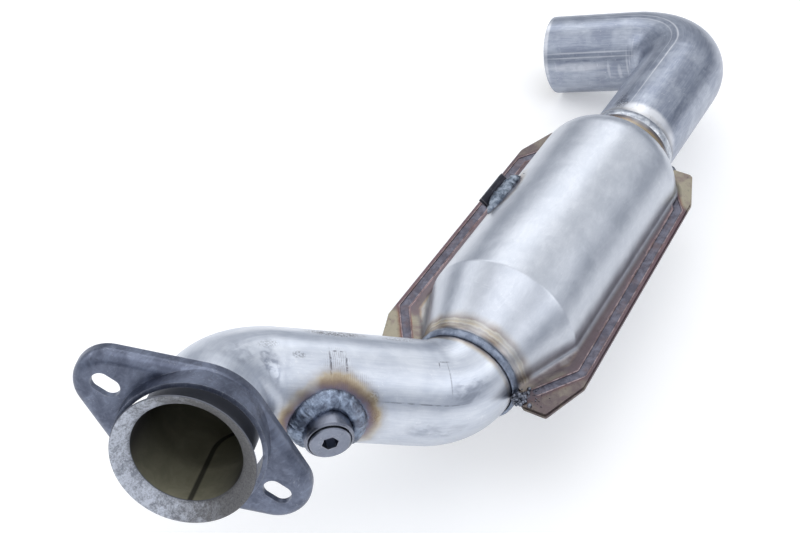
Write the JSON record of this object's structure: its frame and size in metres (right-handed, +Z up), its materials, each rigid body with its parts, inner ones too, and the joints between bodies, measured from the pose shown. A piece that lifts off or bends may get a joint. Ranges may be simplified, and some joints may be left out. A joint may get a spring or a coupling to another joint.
{
  "type": "catalytic converter with pipes",
  "caption": "Clamshell catalytic converter with a bent inlet pipe, flared mouth, loose slotted flange and sensor bung, and a bent plain outlet pipe.",
  "frame": {"origin": "on the axis of the inlet pipe's mouth, where its flare begins", "axes": "+X along the converter body's axis from inlet to outlet, +Z up, square to the plane where the two shells meet, +Y to the left along the flow"},
  "size_m": [0.6334, 0.2081, 0.1772],
  "materials": {
    "flange_steel": "dark oxidised steel, smooth rolled edge",
    "inlet_pipe_steel": "satin stainless tube with tool marks",
    "bung_steel": "turned steel",
    "plug_steel": "turned steel, lightly worn",
    "weld_steel": "rippled weld metal, blue-grey",
    "shell_steel": "satin pressed stainless sheet, heat tinted beside the welds",
    "bracket_steel": "dark plate, heat tinted",
    "outlet_pipe_steel": "satin tube, duller, with drawn lines",
    "substrate": "matt coated honeycomb, shown as a plain block",
    "mat": "fibre mat",
    "mesh_seal": "knitted wire"
  },
  "bodies": {
    "converter": {"inlet_pipe": "inlet_pipe_steel", "sensor_bung": "bung_steel", "bung_plug": "plug_steel", "bung_weld": "weld_steel", "inlet_neck_weld": "weld_steel", "upper_shell": "shell_steel", "lower_shell": "shell_steel", "side_bracket": "bracket_steel", "bracket_weld": "weld_steel", "seam_end_welds": "weld_steel", "outlet_neck_weld": "weld_steel", "outlet_pipe": "outlet_pipe_steel", "front_substrate": "substrate", "front_mat": "mat", "front_inlet_seal": "mesh_seal", "front_outlet_seal": "mesh_seal", "rear_substrate": "substrate", "rear_mat": "mat", "rear_inlet_seal": "mesh_seal", "rear_outlet_seal": "mesh_seal"},
    "flange": {"inlet_flange": "flange_steel"}
  },
  "joints": [
    {"name": "flange_swivel", "type": "hinge", "parent": "converter", "child": "flange", "pos_m": [0.00102, -0.0013, 0.00174], "axis": [-0.8652, -0.4301, 0.2579], "continuous": true}
  ]
}
